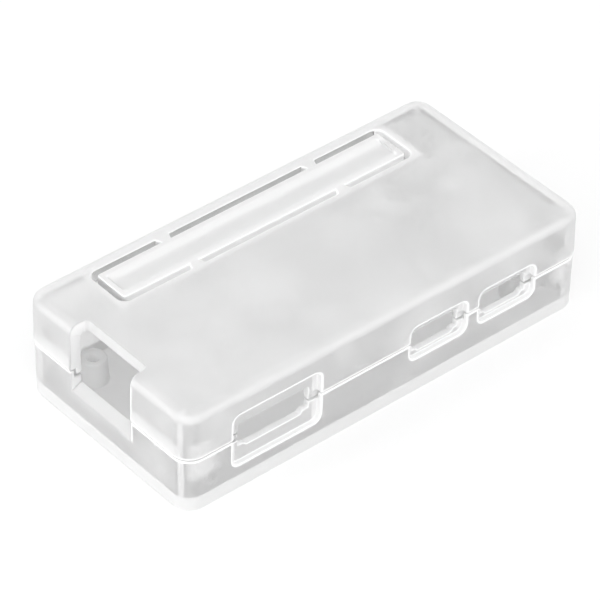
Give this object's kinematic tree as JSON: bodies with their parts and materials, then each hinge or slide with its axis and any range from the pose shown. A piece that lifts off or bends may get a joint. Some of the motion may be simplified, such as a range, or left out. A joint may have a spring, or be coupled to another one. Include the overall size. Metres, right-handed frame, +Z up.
{
  "type": "single board computer case",
  "caption": "Clear two-piece case for a small single board computer, with plug openings, a card notch and a break-out panel over the pin header.",
  "frame": {"origin": "centre of the case's outline, on the surface that it stands on", "axes": "+X runs along the case, away from the memory card end; -Y is the side with the plug openings; +Z is up"},
  "size_m": [0.072, 0.0352, 0.017],
  "materials": {
    "clear_base": "clear, polished",
    "satin_cover": "clear, with a satin top"
  },
  "bodies": {
    "base": {"base_tray": "clear_base"},
    "cover": {"top_cover": "satin_cover"}
  },
  "joints": [
    {"name": "cover_lift", "type": "slide", "parent": "base", "child": "cover", "axis": [0, 0, 1], "range_m": [0, 0.02]}
  ]
}
